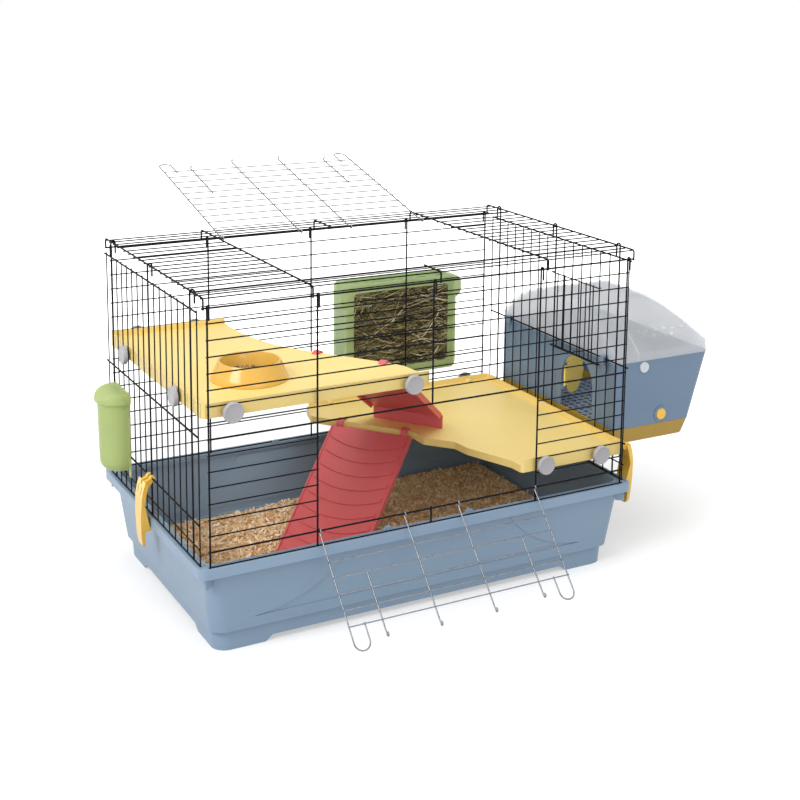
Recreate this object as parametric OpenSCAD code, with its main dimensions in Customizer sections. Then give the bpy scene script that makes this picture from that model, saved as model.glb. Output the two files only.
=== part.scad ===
// Two-storey wire cage for small pets, on a moulded tub, with a nest box hung on one end.
// Origin: centre of the tub's footprint, on the floor. X runs along the tub, the doors face -Y.

/* [Tub] */
// Length of the tub over its rim
tub_l = 800; // [760:1:900]
// Width of the tub over its rim
tub_w = 490; // [470:1:560]
// Height of the rim above the floor
tub_h = 152; // [130:1:180]
// Depth of the turned-down edge of the rim
rim_drop = 16; // [10:1:22]
// Width of the rim along the long sides
rim_w = 17; // [16:1:20]
// Wall thickness of the tub
tub_wall = 2.8; // [2:0.1:4]
// How far the wall leans in on each side from top to tier
tub_taper = 14; // [8:1:18]
// Height of the lower tier of the tub
tier_h = 34; // [26:1:40]
// Step in from the wall to the lower tier
tier_step = 6; // [3:0.5:9]
// Height of the floor pan above the ground
foot_h = 10; // [6:1:14]
// Length of each corner foot along the tub
foot_l = 82; // [60:1:110]
// Depth of the panel sunk into the long sides
recess = 2; // [1:0.1:3]
// Width of the sunk panel at its top
recess_top_l = 300; // [240:5:360]
// Width of the sunk panel at its bottom
recess_foot_l = 620; // [520:5:660]
// Height of the shadow line round the foot of the wall
band_z = 52; // [46:1:60]
// Corner radius of the rim
rim_r = 12; // [8:1:20]
// Corner radius of the tub wall
tub_r = 24; // [16:1:32]

/* [Wire frame] */
// Diameter of the thin wires
wire_d = 2.2; // [1.8:0.1:2.6]
// Diameter of the frame wires
post_d = 3; // [2.6:0.1:3.4]
// How far crossing wires sink into each other at a weld
weld = 0.4; // [0.3:0.1:0.5]
// Distance from the rim's outer edge to the wire panels
panel_inset = 8; // [7:0.5:9]
// Height of the front and back hooks' wire above the floor
hook_wire_z = 554; // [540:1:600]
// Height of the roof wires above the hooks' wire
roof_rise = 16; // [12:1:20]
// Spacing of the rows of the front and back panels
row_pitch = 25.3; // [24:0.1:27]
// Height of the first row above the rim
first_row = 24; // [20:1:30]
// Number of rows in the front and back panels
row_count = 15; // [13:1:15]
// Distance from the last upright of an end panel to the front and back panels
end_margin = 13; // [11:0.5:16]
// Half the number of gaps between uprights in an end panel
upright_half = 8; // [7:1:8]
// Length of the folded-over tail of each hook
hook_tail = 18; // [12:1:22]
// Gap between a hook and the wire that it holds
hook_gap = 0.4; // [0.3:0.05:0.5]

/* [Doors] */
// Diameter of the door frame wires
bar_d = 2.5; // [2.2:0.1:2.8]
// Diameter of the door cross wires
rung_d = 2; // [1.6:0.1:2.2]
// Running gap of a wire eye round its wire
eye_gap = 0.1; // [0.05:0.01:0.1]
// Half width of the front and top openings
door_half = 203; // [180:1:215]
// Rows that the front door spans
door_rows = 7; // [6:1:8]
// Angle at which the front door stands open, from hanging straight down
front_open = 43; // [35:1:60]
// Angle at which the top door leans back, above level
top_open = 13.6; // [13.6:0.1:20]
// Place of the roof door's hinge wire behind the middle
roof_hinge_y = 167; // [150:1:175]
// Depth of the roof opening in front of the hinge wire
roof_opening = 355; // [330:1:370]
// Spacing of the front door's cross wires
rung_pitch = 26; // [24:1:28]
// Spacing of the top door's cross wires
top_rung_pitch = 27; // [25:1:28]
// Number of gaps between uprights that the side opening spans
side_gaps = 5; // [4:1:5]
// Height of the side door
side_door_h = 140; // [126:1:145]

/* [Shelves] */
// Height of the upper shelf's walking surface
upper_z = 396; // [380:1:410]
// Height of the lower shelf's walking surface
lower_z = 215; // [205:1:225]
// Height of the shelf's edge above its surface
shelf_rim = 10; // [6:1:12]
// Depth of the shelf's lip below its surface
shelf_lip = 13; // [11:1:14]
// Thickness of the shelf's edge
shelf_wall = 3; // [2:0.1:3.4]
// Thickness of the shelf's plate
shelf_plate = 2.5; // [2:0.1:3.5]
// Gap between a shelf and the wire panels
shelf_gap = 4; // [3.4:0.1:5]
// Diameter of the clamping knobs
knob_d = 32; // [26:1:34]
// Thickness of a knob
knob_t = 7; // [6:0.5:8]
// Diameter of a knob's pin
pin_d = 8; // [6:0.5:9]

/* [Shavings] */
// Depth of the wood shavings at the left and the front
bed_low = 20; // [14:1:22]
// Depth of the wood shavings at the right and the back
bed_high = 31; // [24:1:32]

/* [Ramps] */
// Width of the upper ramp at its top
upper_ramp_w = 156; // [140:1:158]
// Level run of the upper ramp
upper_run = 224; // [210:1:230]
// Width of the lower ramp
lower_ramp_w = 158; // [140:1:160]
// Level run of the lower ramp
lower_run = 256; // [245:1:265]
// Thickness of a ramp's board
ramp_t = 3; // [2.5:0.1:4]
// Outer radius of the ring with which a ramp grips the shelf
ring_r = 11; // [10.8:0.1:12]
// Width of each ring
ring_w = 12; // [8:1:16]

/* [Bowl] */
// Diameter of the bowl's foot
bowl_foot_d = 124; // [110:1:130]
// Diameter of the bowl's rim
bowl_rim_d = 100; // [90:1:106]
// Height of the bowl
bowl_h = 30; // [24:1:36]

/* [Nest box] */
// Length of the nest box away from the cage
nest_l = 213; // [190:1:230]
// How far each flank of the nest box stays inside the tub's side
nest_inset = 59; // [57:1:70]
// Height of the tray's underside
nest_z = 202; // [196:1:206]
// Height of the join between tray and body
tray_z = 228; // [224:1:232]
// Height of the join between body and lid
lid_z = 350; // [346:1:352]
// Height of the lid's ridge
ridge_z = 445; // [425:1:460]
// Wall thickness of the nest box
nest_wall = 2.5; // [2:0.1:3]
// How far the outer wall leans in at the tray
nest_taper = 38; // [25:1:45]
// Half width of the entrance
arch_half = 50; // [45:1:52]
// Place of the entrance's middle
arch_y = -67.5; // [-70:0.5:-66]
// Diameter of the entrance's door
flap_d = 88; // [80:1:88]

/* [Feeder and rack] */
// Width of the feeder
feeder_w = 72; // [60:1:80]
// Depth of the feeder
feeder_t = 45; // [40:1:50]
// Height of the feeder's body
feeder_h = 124; // [110:1:130]
// Width of the hay rack
rack_w = 243; // [220:1:250]
// Depth of the hay rack
rack_t = 55; // [45:1:60]
// Height of the hay rack
rack_h = 190; // [170:1:195]

/* [Latches] */
// Width of a latch
latch_w = 34; // [30:1:36]
// Width of a latch near its tip
latch_foot = 22; // [18:1:26]
// Height of the wire that the latches hang on, above the rim
latch_wire = 65.5; // [60:0.5:70]

/* [Hidden] */

wire_fn = 24;
round_fn = 64;
clear = 0.3;

// Drop from the hooks' wire to the end panels' top wire, and the rise of the end panels' low wire
end_drop = 7;
low_rise = 27;
// Rise from the nest box's lid joint to the wire that it hangs on
hang_rise = 6;
// Middle and short bars of the doors, and how far the doors' tips pass their openings
mid_bar = 50;
short_bar_in = 60;
front_tip_over = 18.9;
top_tip_over = 4;
loop_d = 27;
top_loop_d = 24;
roof_pitch = 26.75;

half_l = tub_l / 2 - panel_inset;
half_w = tub_w / 2 - panel_inset;
upright_pitch = (half_w - end_margin) / upright_half;
side_opening = side_gaps * upright_pitch;
nest_w = tub_w - 2 * nest_inset;
rim_z = tub_h;
groove_floor = rim_z - wire_d / 2 - clear;
row_z0 = rim_z + first_row;
roof_z = hook_wire_z + roof_rise;
lap = (wire_d + post_d) / 2 - weld;
post_in = half_w - lap;
end_post_x = half_l - 12;
apron_y = post_in + post_d + hook_gap;
leg_y = apron_y + post_d - weld;
hook_r = post_d + hook_gap;
roof_wire_z = roof_z - lap;
end_bar_x = half_l - 4;
end_hook_r = (half_l - end_bar_x + post_d + clear) / 2;
latch_z = rim_z + latch_wire;
side_top_z = hook_wire_z - end_drop;
door_top_z = row_z0 + door_rows * row_pitch;
eye_r = (post_d + bar_d) / 2 + eye_gap;
rung_off = (bar_d + rung_d) / 2 - weld;

shelf_x = half_l - shelf_gap;
shelf_y = half_w - 2 * shelf_gap;
strip = shelf_lip;
strip_w = 7;

function unit(v) = v / norm(v);
function turn_at(p, i) =
  let (u = unit(p[i] - p[i - 1]), w = unit(p[i + 1] - p[i]))
  atan2(cross(u, w), u * w);
function setback(p, i, r) =
  (i == 0 || i == len(p) - 1) ? 0 : r * tan(abs(turn_at(p, i)) / 2);

// Points of an outline given as [x, y, corner radius]
function xy(p) = [p[0], p[1]];
function arc_points(a, b, c, r) =
  let (u = unit(b - a), w = unit(c - b), t = atan2(cross(u, w), u * w),
       s = sign(t), e = b - u * r * tan(abs(t) / 2), m = e + s * r * [-u[1], u[0]],
       g = atan2(u[1], u[0]) - s * 90, n = max(2, ceil(abs(t) / 12)))
  [for (j = [0 : n]) m + r * [cos(g + t * j / n), sin(g + t * j / n)]];
function rounded(p) =
  [for (i = [0 : len(p) - 1])
    for (q = p[i][2] == 0 ? [xy(p[i])]
      : arc_points(xy(p[(i + len(p) - 1) % len(p)]), xy(p[i]), xy(p[(i + 1) % len(p)]), p[i][2])) q];

// The same outline moved in by t on every side
function inset(p, t) =
  [for (i = [0 : len(p) - 1])
    let (a = p[(i + len(p) - 1) % len(p)], b = p[i], c = p[(i + 1) % len(p)],
         u = unit(b - a), w = unit(c - b), n = [-u[1], u[0]], m = [-w[1], w[0]])
    b + t * (n + m) / (1 + n * m)];

function curve(a, b, c, n) =
  [for (j = [1 : n - 1]) let (t = j / n) a * (1 - t) * (1 - t) + b * 2 * t * (1 - t) + c * t * t];

module rod(a, b, d) {
  v = b - a;
  l = norm(v);
  translate(a)
    rotate([0, acos(v[2] / l), atan2(v[1], v[0])])
      cylinder(h = l, d = d, $fn = wire_fn);
}

// A wire bent in the XY plane along points p, with bends of radius r
module bent_wire(p, r, d) {
  for (i = [0 : len(p) - 2]) {
    u = unit(p[i + 1] - p[i]);
    l = norm(p[i + 1] - p[i]) - setback(p, i, r) - setback(p, i + 1, r);
    translate(p[i] + u * setback(p, i, r))
      rotate(atan2(u[1], u[0]))
        rotate([0, 90, 0])
          if (l > 0.01) cylinder(h = l, d = d, $fn = wire_fn);
  }
  for (i = [1 : len(p) - 2]) {
    u = unit(p[i] - p[i - 1]);
    t = turn_at(p, i);
    s = sign(t);
    translate(p[i] - u * setback(p, i, r) + s * r * [-u[1], u[0]])
      rotate(atan2(u[1], u[0]) - s * 90 + min(t, 0))
        rotate_extrude(angle = abs(t), $fn = 2 * wire_fn)
          translate([r, 0])
            circle(d = d, $fn = wire_fn);
  }
}

module round_box(l, w, r) {
  square([l - 2 * r, w], center = true);
  square([l, w - 2 * r], center = true);
  for (x = [-1, 1], y = [-1, 1])
    translate([x * (l / 2 - r), y * (w / 2 - r)])
      circle(r = r, $fn = round_fn);
}

// Tub
module tub_tier(z0, z1, l0, w0, l1, w1, r) {
  hull() {
    translate([0, 0, z0]) linear_extrude(0.01) round_box(l0, w0, r);
    translate([0, 0, z1 - 0.01]) linear_extrude(0.01) round_box(l1, w1, r);
  }
}

wall_l = tub_l - 26;
wall_w = tub_w - 16;
tier_l = wall_l - 2 * tub_taper;
tier_w = wall_w - 2 * tub_taper;
pan_l = tier_l - 2 * tier_step;
pan_w = tier_w - 2 * tier_step;
rim_t = 8;

module foot_gap(l, w) {
  rotate([90, 0, 0])
    linear_extrude(w, center = true)
      polygon(rounded([
        [-l / 2, -1, 0], [l / 2, -1, 0], [l / 2 - 14, foot_h, 8], [-l / 2 + 14, foot_h, 8]
      ]));
}

// Outline of the sunk panel, seen from the front, its ends swept outward towards the foot
module recess_outline(grow) {
  top = rim_z - rim_drop;
  polygon(concat(
    [[-recess_top_l / 2 - grow, top + 1]],
    curve([-recess_top_l / 2 - grow, top], [-recess_top_l / 2 - 52 - grow, band_z + 8], [-recess_foot_l / 2 - grow, band_z], 12),
    [[-recess_foot_l / 2 - grow, band_z - grow], [recess_foot_l / 2 + grow, band_z - grow]],
    curve([recess_foot_l / 2 + grow, band_z], [recess_top_l / 2 + 52 + grow, band_z + 8], [recess_top_l / 2 + grow, top], 12),
    [[recess_top_l / 2 + grow, top + 1]]
  ));
}

// What lies outside the wall moved in by t, within the sunk panel's outline
module recess_cut(grow, t) {
  difference() {
    rotate([90, 0, 0]) linear_extrude(tub_w, center = true) recess_outline(grow);
    tub_tier(tier_h, rim_z - rim_t + 1, tier_l + 2 * tub_taper, tier_w - 2 * t, wall_l + 2 * tub_taper, wall_w - 2 * t, 0.1);
  }
}

nub_r = 8;
nub_x = 76;
web_h = 18;

// Half-round tabs on the inner edge of the rim that keep the frame in its groove
module rim_nubs() {
  for (x = [-nub_x, nub_x], s = [-1, 1])
    translate([x, s * (tub_w / 2 - rim_w + 1), rim_z - 2])
      rotate([90, 0, 0])
        cylinder(h = 2, r = nub_r, center = true, $fn = round_fn);
}

// Webs under the rim at the corners of the wall
module rim_webs() {
  for (x = [-1, 1], y = [-1, 1])
    translate([x * (wall_l / 2 - 4), y * (wall_w / 2 - 4), rim_z - rim_drop - web_h])
      rotate(x * y * 35)
        translate([-8, -1.5, 0]) cube([16, 3, web_h + 8]);
}

module tub() {
  color([0.56, 0.65, 0.74]) {
    rim_nubs();
    rim_webs();
    difference() {
      union() {
        translate([0, 0, rim_z - rim_drop]) linear_extrude(rim_drop) round_box(tub_l, tub_w, rim_r);
        difference() {
          tub_tier(tier_h, rim_z - rim_t + 1, tier_l, tier_w, wall_l, wall_w, tub_r);
          recess_cut(0, recess);
        }
        tub_tier(0, tier_h, pan_l - 4, pan_w - 4, pan_l, pan_w, tub_r);
      }
      translate([0, 0, rim_z - rim_drop - 1])
        linear_extrude(rim_drop - 2)
          difference() {
            round_box(tub_l - 5, tub_w - 5, rim_r - 2);
            round_box(wall_l, wall_w, tub_r);
          }
      difference() {
        tub_tier(tier_h + tub_wall, rim_z - rim_t, tier_l - 2 * tub_wall, tier_w - 2 * tub_wall,
                 wall_l - 2 * tub_wall, wall_w - 2 * tub_wall, tub_r - tub_wall);
        recess_cut(tub_wall, recess + tub_wall);
      }
      tub_tier(foot_h + tub_wall, tier_h + tub_wall + 0.5, pan_l - 2 * tub_wall - 3, pan_w - 2 * tub_wall - 3,
               pan_l - 2 * tub_wall, pan_w - 2 * tub_wall, tub_r - tub_wall);
      translate([0, 0, -1])
        linear_extrude(foot_h + 1)
          round_box(pan_l - 2 * tub_wall - 4, pan_w - 2 * tub_wall - 4, tub_r - tub_wall);
      translate([0, 0, rim_z - rim_t - 1])
        linear_extrude(rim_t + 2)
          round_box(tub_l - 2 * rim_w, tub_w - 2 * rim_w, tub_r - 4);
      translate([0, 0, groove_floor])
        linear_extrude(rim_z)
          difference() {
            round_box(2 * half_l + 7, 2 * half_w + 7, rim_r - 2);
            round_box(2 * half_l - 14, 2 * half_w - 14, rim_r - 2);
          }
      foot_gap(pan_l - 2 * foot_l, tub_w);
      rotate(90) foot_gap(pan_w - 2 * foot_l, tub_l);
    }
  }
}

// Wood shavings: a heap over the floor of the tub, kept off the ramp's foot over its travel
bed_z = foot_h + tub_wall;
bed_l = pan_l - 2 * tub_wall - 3 - 2 * clear;
bed_w = pan_w - 2 * tub_wall - 3 - 2 * clear;
bed_steps = 24;
foot_back = 44;
foot_front = 44;

function bed_ridge(l, low, high, wave) = concat(
  [for (i = [0 : bed_steps])
    let (t = i / bed_steps)
      [(t - 0.5) * (l + 2), low + (high - low) * t + wave * sin(900 * t + 40) + wave * 0.6 * sin(1980 * t)]],
  [[l / 2 + 1, -1], [-l / 2 - 1, -1]]
);

module bedding() {
  color([0.8, 0.64, 0.42])
    difference() {
      intersection() {
        translate([0, 0, bed_z]) linear_extrude(60) round_box(bed_l, bed_w, tub_r - tub_wall);
        translate([0, 0, bed_z])
          rotate([90, 0, 0])
            linear_extrude(bed_w + 2, center = true) polygon(bed_ridge(bed_l, bed_low, bed_high, 1.6));
        translate([0, 0, bed_z])
          rotate([90, 0, 90])
            linear_extrude(bed_l + 2, center = true) polygon(bed_ridge(bed_w, bed_low, bed_high + 6, 1.2));
      }
      ramp_frame(lower_edge_a, lower_edge_b, lower_z, 0)
        translate([lower_run - foot_back, -lower_ramp_w / 2 - 3, -lower_drop - 1])
          cube([foot_back + foot_front, lower_ramp_w + 6, 100]);
    }
}

// Wire panels
module hooked_post(x, z0, side) {
  translate([x, 0, 0])
    rotate([90, 0, 90])
      bent_wire([
        [side * post_in, z0], [side * post_in, hook_wire_z + hook_r],
        [side * (post_in + 2 * hook_r), hook_wire_z + hook_r],
        [side * (post_in + 2 * hook_r), hook_wire_z - hook_tail]
      ], hook_r - 0.01, post_d);
}

module long_panel(side, opening) {
  y = side * half_w;
  for (i = [0 : row_count - 1]) {
    z = row_z0 + i * row_pitch;
    thick = opening && (i == 0 || i == door_rows);
    if (opening && i > 0 && i < door_rows)
      for (s = [-1, 1])
        rod([s * (door_half - 1), y, z], [s * (end_post_x + 3), y, z], wire_d);
    else
      rod([-end_post_x - 3, y, z], [end_post_x + 3, y, z], thick ? post_d : wire_d);
  }
  rod([-end_post_x - 3, y, rim_z], [end_post_x + 3, y, rim_z], wire_d);
  for (x = [-end_post_x, -door_half, door_half, end_post_x])
    hooked_post(x, rim_z - 1, side);
  hooked_post(0, opening ? door_top_z - 2 : rim_z - 1, side);
  if (opening)
    rod([0, side * post_in, rim_z - 1], [0, side * post_in, row_z0 + 2], post_d);
}

module front_panel() {
  color([0.12, 0.13, 0.19]) long_panel(-1, true);
}

module back_panel() {
  color([0.12, 0.13, 0.19]) long_panel(1, false);
}

end_y = upright_half * upright_pitch;
end_rows = [latch_z, lid_z + hang_rise, side_top_z];
side_y0 = -side_opening;
side_low = latch_z;
side_high = side_low + 122.5;

module end_hook(y, side) {
  translate([0, y, 0])
    rotate([90, 0, 0])
      bent_wire([
        [side * half_l, rim_z - 1], [side * half_l, roof_z + end_hook_r],
        [side * (half_l - 2 * end_hook_r), roof_z + end_hook_r],
        [side * (half_l - 2 * end_hook_r), roof_z - hook_tail]
      ], end_hook_r - 0.01, post_d);
}

module end_panel(side, opening) {
  x = side * half_l;
  out = side * (half_l + lap);
  for (k = [-upright_half : upright_half]) {
    y = k * upright_pitch;
    if (abs(k) == upright_half - 1 || k == 0)
      end_hook(y, side);
    else if (opening && y < -1 && y > side_y0 + 1) {
      rod([x, y, rim_z - 1], [x, y, side_low + 1.5], wire_d);
      rod([x, y, side_high - 1.5], [x, y, side_top_z + 2], wire_d);
    }
    else
      rod([x, y, rim_z - 1], [x, y, side_top_z + 2], wire_d);
  }
  rod([x, -end_y - 2, rim_z], [x, end_y + 2, rim_z], wire_d);
  for (z = end_rows)
    rod([out, -end_y - 3, z], [out, end_y + 3, z], post_d);
  rod([side * (half_l + wire_d - weld), -end_y - 2, rim_z + low_rise],
      [side * (half_l + wire_d - weld), end_y + 2, rim_z + low_rise], wire_d);
  if (opening)
    rod([out, side_y0 - 3, side_high], [out, 3, side_high], post_d);
}

module left_panel() {
  color([0.12, 0.13, 0.19]) end_panel(-1, false);
}

module right_panel() {
  color([0.12, 0.13, 0.19]) end_panel(1, true);
}

roof_front_y = roof_hinge_y - roof_opening;
roof_bend_r = 5;
opening_bar_x = door_half + 10;

module roof_bar(x, y0, y1) {
  front = y0 < 0;
  back = y1 > 0;
  translate([x, 0, 0])
    rotate([90, 0, 90])
      bent_wire(concat(
        front && y0 <= -leg_y ? [[-leg_y, hook_wire_z - 2], [-leg_y, roof_z]] : [[y0, roof_z]],
        back && y1 >= leg_y ? [[leg_y, roof_z], [leg_y, hook_wire_z - 2]] : [[y1, roof_z]]
      ), roof_bend_r, post_d);
}

module top_panel() {
  color([0.12, 0.13, 0.19]) {
    for (x = [-end_bar_x, -opening_bar_x, opening_bar_x, end_bar_x])
      roof_bar(x, -leg_y, leg_y);
    roof_bar(9, -leg_y, roof_front_y + 2);
    roof_bar(9, roof_hinge_y - 2, leg_y);
    for (y = [-apron_y, apron_y])
      rod([-end_bar_x - 2, y, hook_wire_z], [end_bar_x + 2, y, hook_wire_z], post_d);
    for (y = [-leg_y + 8, roof_front_y - 25, roof_hinge_y + 25, roof_hinge_y + 48, leg_y - 8])
      rod([-end_bar_x - 2, y, roof_wire_z], [end_bar_x + 2, y, roof_wire_z], wire_d);
    for (y = [roof_front_y, roof_hinge_y])
      rod([-end_bar_x - 2, y, roof_z - post_d + weld], [end_bar_x + 2, y, roof_z - post_d + weld], post_d);
    for (i = [1 : 12], s = [-1, 1])
      rod([s * (opening_bar_x - 1.5), roof_front_y + i * roof_pitch, roof_wire_z],
          [s * (end_bar_x + 2), roof_front_y + i * roof_pitch, roof_wire_z], wire_d);
  }
}

curl_r = 3;
curl_turn = 230;
front_tip = door_rows * row_pitch + front_tip_over;
top_tip = roof_opening + top_tip_over;

// Doors, drawn flat: X across, Y from the hinge to the tip, hinge wire on the X axis,
// frame bars at height eye_r, cross wires below them
module eye(x) {
  translate([x, 0, 0])
    rotate([90, 0, 90])
      rotate(90)
        rotate_extrude(angle = 290, $fn = 2 * wire_fn)
          translate([eye_r, 0])
            circle(d = bar_d, $fn = wire_fn);
}

module door_bar(x, start, l) {
  rod([x, start, eye_r], [x, l - curl_r - bar_d / 2, eye_r], bar_d);
  translate([x, l - curl_r - bar_d / 2, eye_r - curl_r])
    rotate([90, 0, 90])
      rotate(90 - curl_turn)
        rotate_extrude(angle = curl_turn, $fn = 2 * wire_fn)
          translate([curl_r, 0])
            circle(d = bar_d, $fn = wire_fn);
}

module door_loop(s, l, back, loop_w) {
  translate([0, 0, eye_r])
    bent_wire([
      [s * (door_half - 3), 0], [s * (door_half - 3), l - bar_d / 2],
      [s * (door_half - 3 - loop_w), l - bar_d / 2], [s * (door_half - 3 - loop_w), back]
    ], loop_w / 2 - 0.01, bar_d);
}

module wire_door(first, pitch, rungs, tip, loop_w, mid_l, short_row, short_l) {
  last = first + pitch * (rungs - 1);
  for (s = [-1, 1]) {
    eye(s * (door_half - 3));
    eye(s * mid_bar);
    door_loop(s, tip, last - 3, loop_w);
    door_bar(s * mid_bar, 0, mid_l);
    door_bar(s * (door_half - short_bar_in), first + pitch * short_row - 2, short_l);
  }
  for (i = [0 : rungs - 1])
    rod([-door_half + 1.7, first + i * pitch, eye_r - rung_off],
        [door_half - 1.7, first + i * pitch, eye_r - rung_off], rung_d);
}

module front_door() {
  color([0.75, 0.75, 0.76])
    translate([0, -half_w, row_z0])
      rotate([-90 - front_open, 0, 0])
        wire_door(2 * rung_pitch, rung_pitch, 5, front_tip, loop_d, front_tip - 8, 1, front_tip - 12);
}

module top_door() {
  color([0.75, 0.75, 0.76])
    translate([0, roof_hinge_y, roof_z - post_d + weld])
      rotate([top_open, 0, 0])
        mirror([0, 0, 1])
          wire_door(45, top_rung_pitch, 11, top_tip, top_loop_d, top_tip - 9, 6, top_tip - 29);
}

// Sliding grille of the side opening, raised
slide_x = half_l - wire_d - 1;
slide_z = side_high + 2;
slide_margin = 14;
slide_gaps = 5;
slide_pitch = (side_opening - 2 * slide_margin) / slide_gaps;

module slide_bar(z) {
  x = slide_x - wire_d + weld;
  rod([x, side_y0 - 4, z], [x, 4, z], wire_d);
  for (y = [side_y0 - 4, 4])
    rod([x, y, z], [half_l + 0.2, y, z], wire_d);
}

module side_door() {
  color([0.12, 0.13, 0.19]) {
    for (z = [slide_z, slide_z + side_door_h])
      slide_bar(z);
    for (i = [0 : slide_gaps])
      rod([slide_x, side_y0 + slide_margin + i * slide_pitch, slide_z - 1.5],
          [slide_x, side_y0 + slide_margin + i * slide_pitch, slide_z + side_door_h + 1.5], wire_d);
  }
}

// Shelves
upper_edge_a = [-20, -138];
upper_edge_b = [-113, -8];
upper_outline = rounded(concat(
  [[-shelf_x, -shelf_y, 8], [3, -shelf_y, 8], [-5, -205, 10], [-10, -160, 14], [-20, -138, 0], [-113, -8, 0]],
  [for (q = curve([-113, -8], [-180, 75], [-176, shelf_y], 10)) [q[0], q[1], 0]],
  [[-176, shelf_y, 0], [-shelf_x, shelf_y, 8]]
));
lower_outline = rounded([
  [178, -shelf_y, 6], [shelf_x, -shelf_y, 8], [shelf_x, shelf_y, 8], [-15, shelf_y, 20],
  [-30, 170, 20], [-3, 133, 0], [97, 5, 0], [98, -30, 14], [137, -75, 16], [141, -112, 30],
  [160, -160, 20], [176, -200, 12]
]);

// Slot and solid edge for one ring of a ramp; local X points away from the shelf
slot_depth = ring_r - strip_w / 2 + 0.5;

module edge_block() {
  translate([-strip_w - slot_depth - shelf_wall, -ring_w, -strip])
    cube([strip_w + slot_depth + shelf_wall, 2 * ring_w, strip - 0.01]);
}

module ring_slot() {
  translate([-strip_w - slot_depth, -ring_w / 2 - 0.6, -strip - 1])
    cube([slot_depth, ring_w + 1.2, strip + 2]);
}

module at_edge(a, b, z, w) {
  m = (a + b) / 2;
  az = atan2(b[1] - a[1], b[0] - a[0]) - 90;
  for (s = [-1, 1])
    translate([m[0], m[1], z])
      rotate(az)
        translate([0, s * w / 2, 0])
          children();
}

module shelf_solid(outline, z) {
  difference() {
    translate([0, 0, z - shelf_lip]) linear_extrude(shelf_lip) polygon(outline);
    translate([0, 0, z - shelf_lip - 1])
      linear_extrude(shelf_lip - shelf_plate + 1)
        polygon(inset(outline, shelf_wall));
  }
  translate([0, 0, z - 0.01])
    linear_extrude(shelf_rim)
      difference() {
        polygon(outline);
        square([2 * (shelf_x - shelf_wall), 2 * (shelf_y - shelf_wall)], center = true);
      }
}

upper_knobs_front = [-shelf_x + 45, -37];
upper_knobs_back = [-shelf_x + 53, -228];
lower_knobs_front = [219.5, shelf_x - 54];
lower_knobs_back = [33.5, shelf_x - 45];
side_knobs = [4.5 * upright_pitch, -4.5 * upright_pitch];
upper_pin_z = row_z0 + 8.5 * row_pitch;
lower_pin_z = row_z0 + 1.45 * row_pitch;

boss_l = 12;
boss_d = pin_d + 7;
bore_d = pin_d + 2 * eye_gap;

// Bosses on the inside of the shelf's edge, or the bores through them
module edge_bores(xs, side, z, d, l) {
  for (x = xs)
    translate([x, side * (shelf_y + 1), z])
      rotate([side * 90, 0, 0])
        translate([0, 0, d > pin_d + 2 ? 1 : 0])
          cylinder(h = l, d = d, $fn = round_fn);
}

module end_bores(ys, z, d, l) {
  for (y = ys)
    translate([-shelf_x - 1, y, z])
      rotate([0, 90, 0])
        translate([0, 0, d > pin_d + 2 ? 1 : 0])
          cylinder(h = l, d = d, $fn = round_fn);
}

module upper_shelf() {
  color([0.95, 0.86, 0.5])
    difference() {
      union() {
        shelf_solid(upper_outline, upper_z);
        at_edge(upper_edge_a, upper_edge_b, upper_z, upper_ramp_w - 30) edge_block();
        edge_bores(upper_knobs_front, -1, upper_pin_z, boss_d, boss_l);
        edge_bores(upper_knobs_back, 1, upper_pin_z, boss_d, boss_l);
        end_bores(side_knobs, upper_pin_z, boss_d, boss_l);
      }
      at_edge(upper_edge_a, upper_edge_b, upper_z, upper_ramp_w - 30) ring_slot();
      edge_bores(upper_knobs_front, -1, upper_pin_z, bore_d, boss_l + 2);
      edge_bores(upper_knobs_back, 1, upper_pin_z, bore_d, boss_l + 2);
      end_bores(side_knobs, upper_pin_z, bore_d, boss_l + 2);
    }
}

lower_edge_a = [-3, 133];
lower_edge_b = [97, 5];

module lower_shelf() {
  color([0.95, 0.86, 0.5])
    difference() {
      union() {
        shelf_solid(lower_outline, lower_z);
        at_edge(lower_edge_a, lower_edge_b, lower_z, lower_ramp_w - 30) edge_block();
        edge_bores(lower_knobs_front, -1, lower_pin_z, boss_d, boss_l);
        edge_bores(lower_knobs_back, 1, lower_pin_z, boss_d, boss_l);
      }
      at_edge(lower_edge_a, lower_edge_b, lower_z, lower_ramp_w - 30) ring_slot();
      edge_bores(lower_knobs_front, -1, lower_pin_z, bore_d, boss_l + 2);
      edge_bores(lower_knobs_back, 1, lower_pin_z, bore_d, boss_l + 2);
    }
}

// Knob outside a panel whose wires lie in the plane y = 0, its pin running in along +Y
module knob(stand_off) {
  front = -wire_d / 2 - clear;
  rotate([-90, 0, 0]) {
    translate([0, 0, front - knob_t])
      rotate_extrude($fn = round_fn)
        polygon([
          [0, 1], [knob_d / 2 - 4, 0.4], [knob_d / 2 - 3, 0], [knob_d / 2 - 1, 0], [knob_d / 2, 1.2],
          [knob_d / 2, knob_t], [0, knob_t]
        ]);
    translate([0, 0, front - 0.5])
      cylinder(h = stand_off + boss_l + 0.5 - front, d = pin_d, $fn = round_fn);
  }
}

module front_knob(x, z) {
  color([0.65, 0.64, 0.65])
    translate([x, -half_w, z])
      knob(half_w - shelf_y);
}

module back_knob(x, z) {
  color([0.65, 0.64, 0.65])
    translate([x, half_w, z])
      rotate(180)
        knob(half_w - shelf_y);
}

module left_knob(y, z) {
  color([0.65, 0.64, 0.65])
    translate([-half_l, y, z])
      rotate(-90)
        knob(half_l - shelf_x);
}

// Ramps: local X down the slope, Y across, Z out of the walking surface, axis at the origin
ring_in = norm([strip_w / 2, strip / 2]) + 0.5;

ramp_top = 5;

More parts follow.
